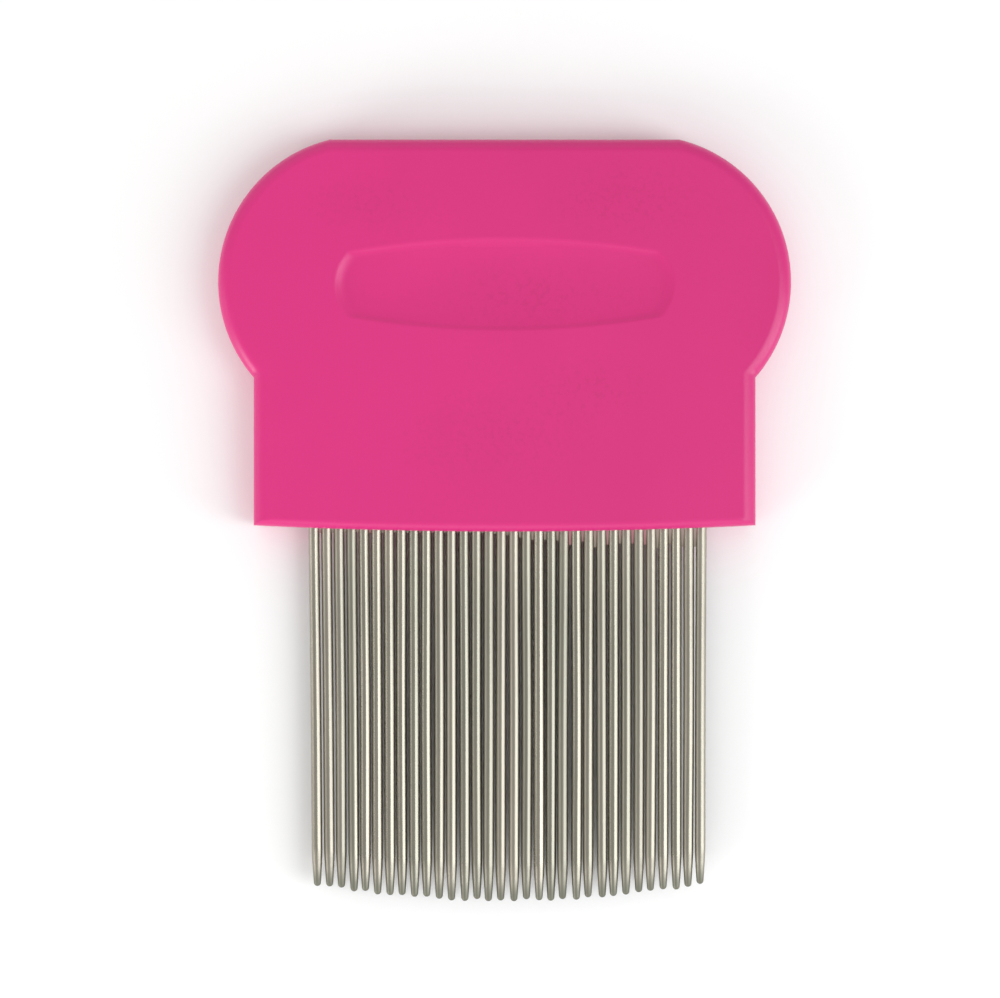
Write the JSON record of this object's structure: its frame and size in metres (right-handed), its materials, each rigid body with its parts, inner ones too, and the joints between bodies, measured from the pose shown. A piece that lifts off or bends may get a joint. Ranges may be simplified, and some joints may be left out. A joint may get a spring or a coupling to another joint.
{
  "type": "flea comb",
  "caption": "Flat plastic comb handle with rounded lobes and a shallow thumb dish, holding a close row of tapered round steel pins for combing fleas out of a coat",
  "frame": {"origin": "Under the middle of the whole comb's box, on the plane of the rear face", "axes": "+X across the pin row, +Y from the pin tips towards the handle's top edge, +Z out of the front face; the comb lies on its rear face"},
  "size_m": [0.056, 0.0745, 0.0054],
  "materials": {
    "handle_plastic": "satin-gloss moulded pink plastic with fine handling marks",
    "bar_plastic": "plain moulded, off-white",
    "adhesive": "cured clear-amber adhesive",
    "pin_steel": "drawn stainless wire with a fine lengthwise grain"
  },
  "bodies": {
    "root": {"front_shell": "handle_plastic", "rear_shell": "handle_plastic", "pin_bar": "bar_plastic", "glue_bead": "adhesive", "pin_01": "pin_steel", "pin_02": "pin_steel", "pin_03": "pin_steel", "pin_04": "pin_steel", "pin_05": "pin_steel", "pin_06": "pin_steel", "pin_07": "pin_steel", "pin_08": "pin_steel", "pin_09": "pin_steel", "pin_10": "pin_steel", "pin_11": "pin_steel", "pin_12": "pin_steel", "pin_13": "pin_steel", "pin_14": "pin_steel", "pin_15": "pin_steel", "pin_16": "pin_steel", "pin_17": "pin_steel", "pin_18": "pin_steel", "pin_19": "pin_steel", "pin_20": "pin_steel", "pin_21": "pin_steel", "pin_22": "pin_steel", "pin_23": "pin_steel", "pin_24": "pin_steel", "pin_25": "pin_steel", "pin_26": "pin_steel", "pin_27": "pin_steel", "pin_28": "pin_steel", "pin_29": "pin_steel", "pin_30": "pin_steel", "pin_31": "pin_steel", "pin_32": "pin_steel"}
  },
  "joints": []
}
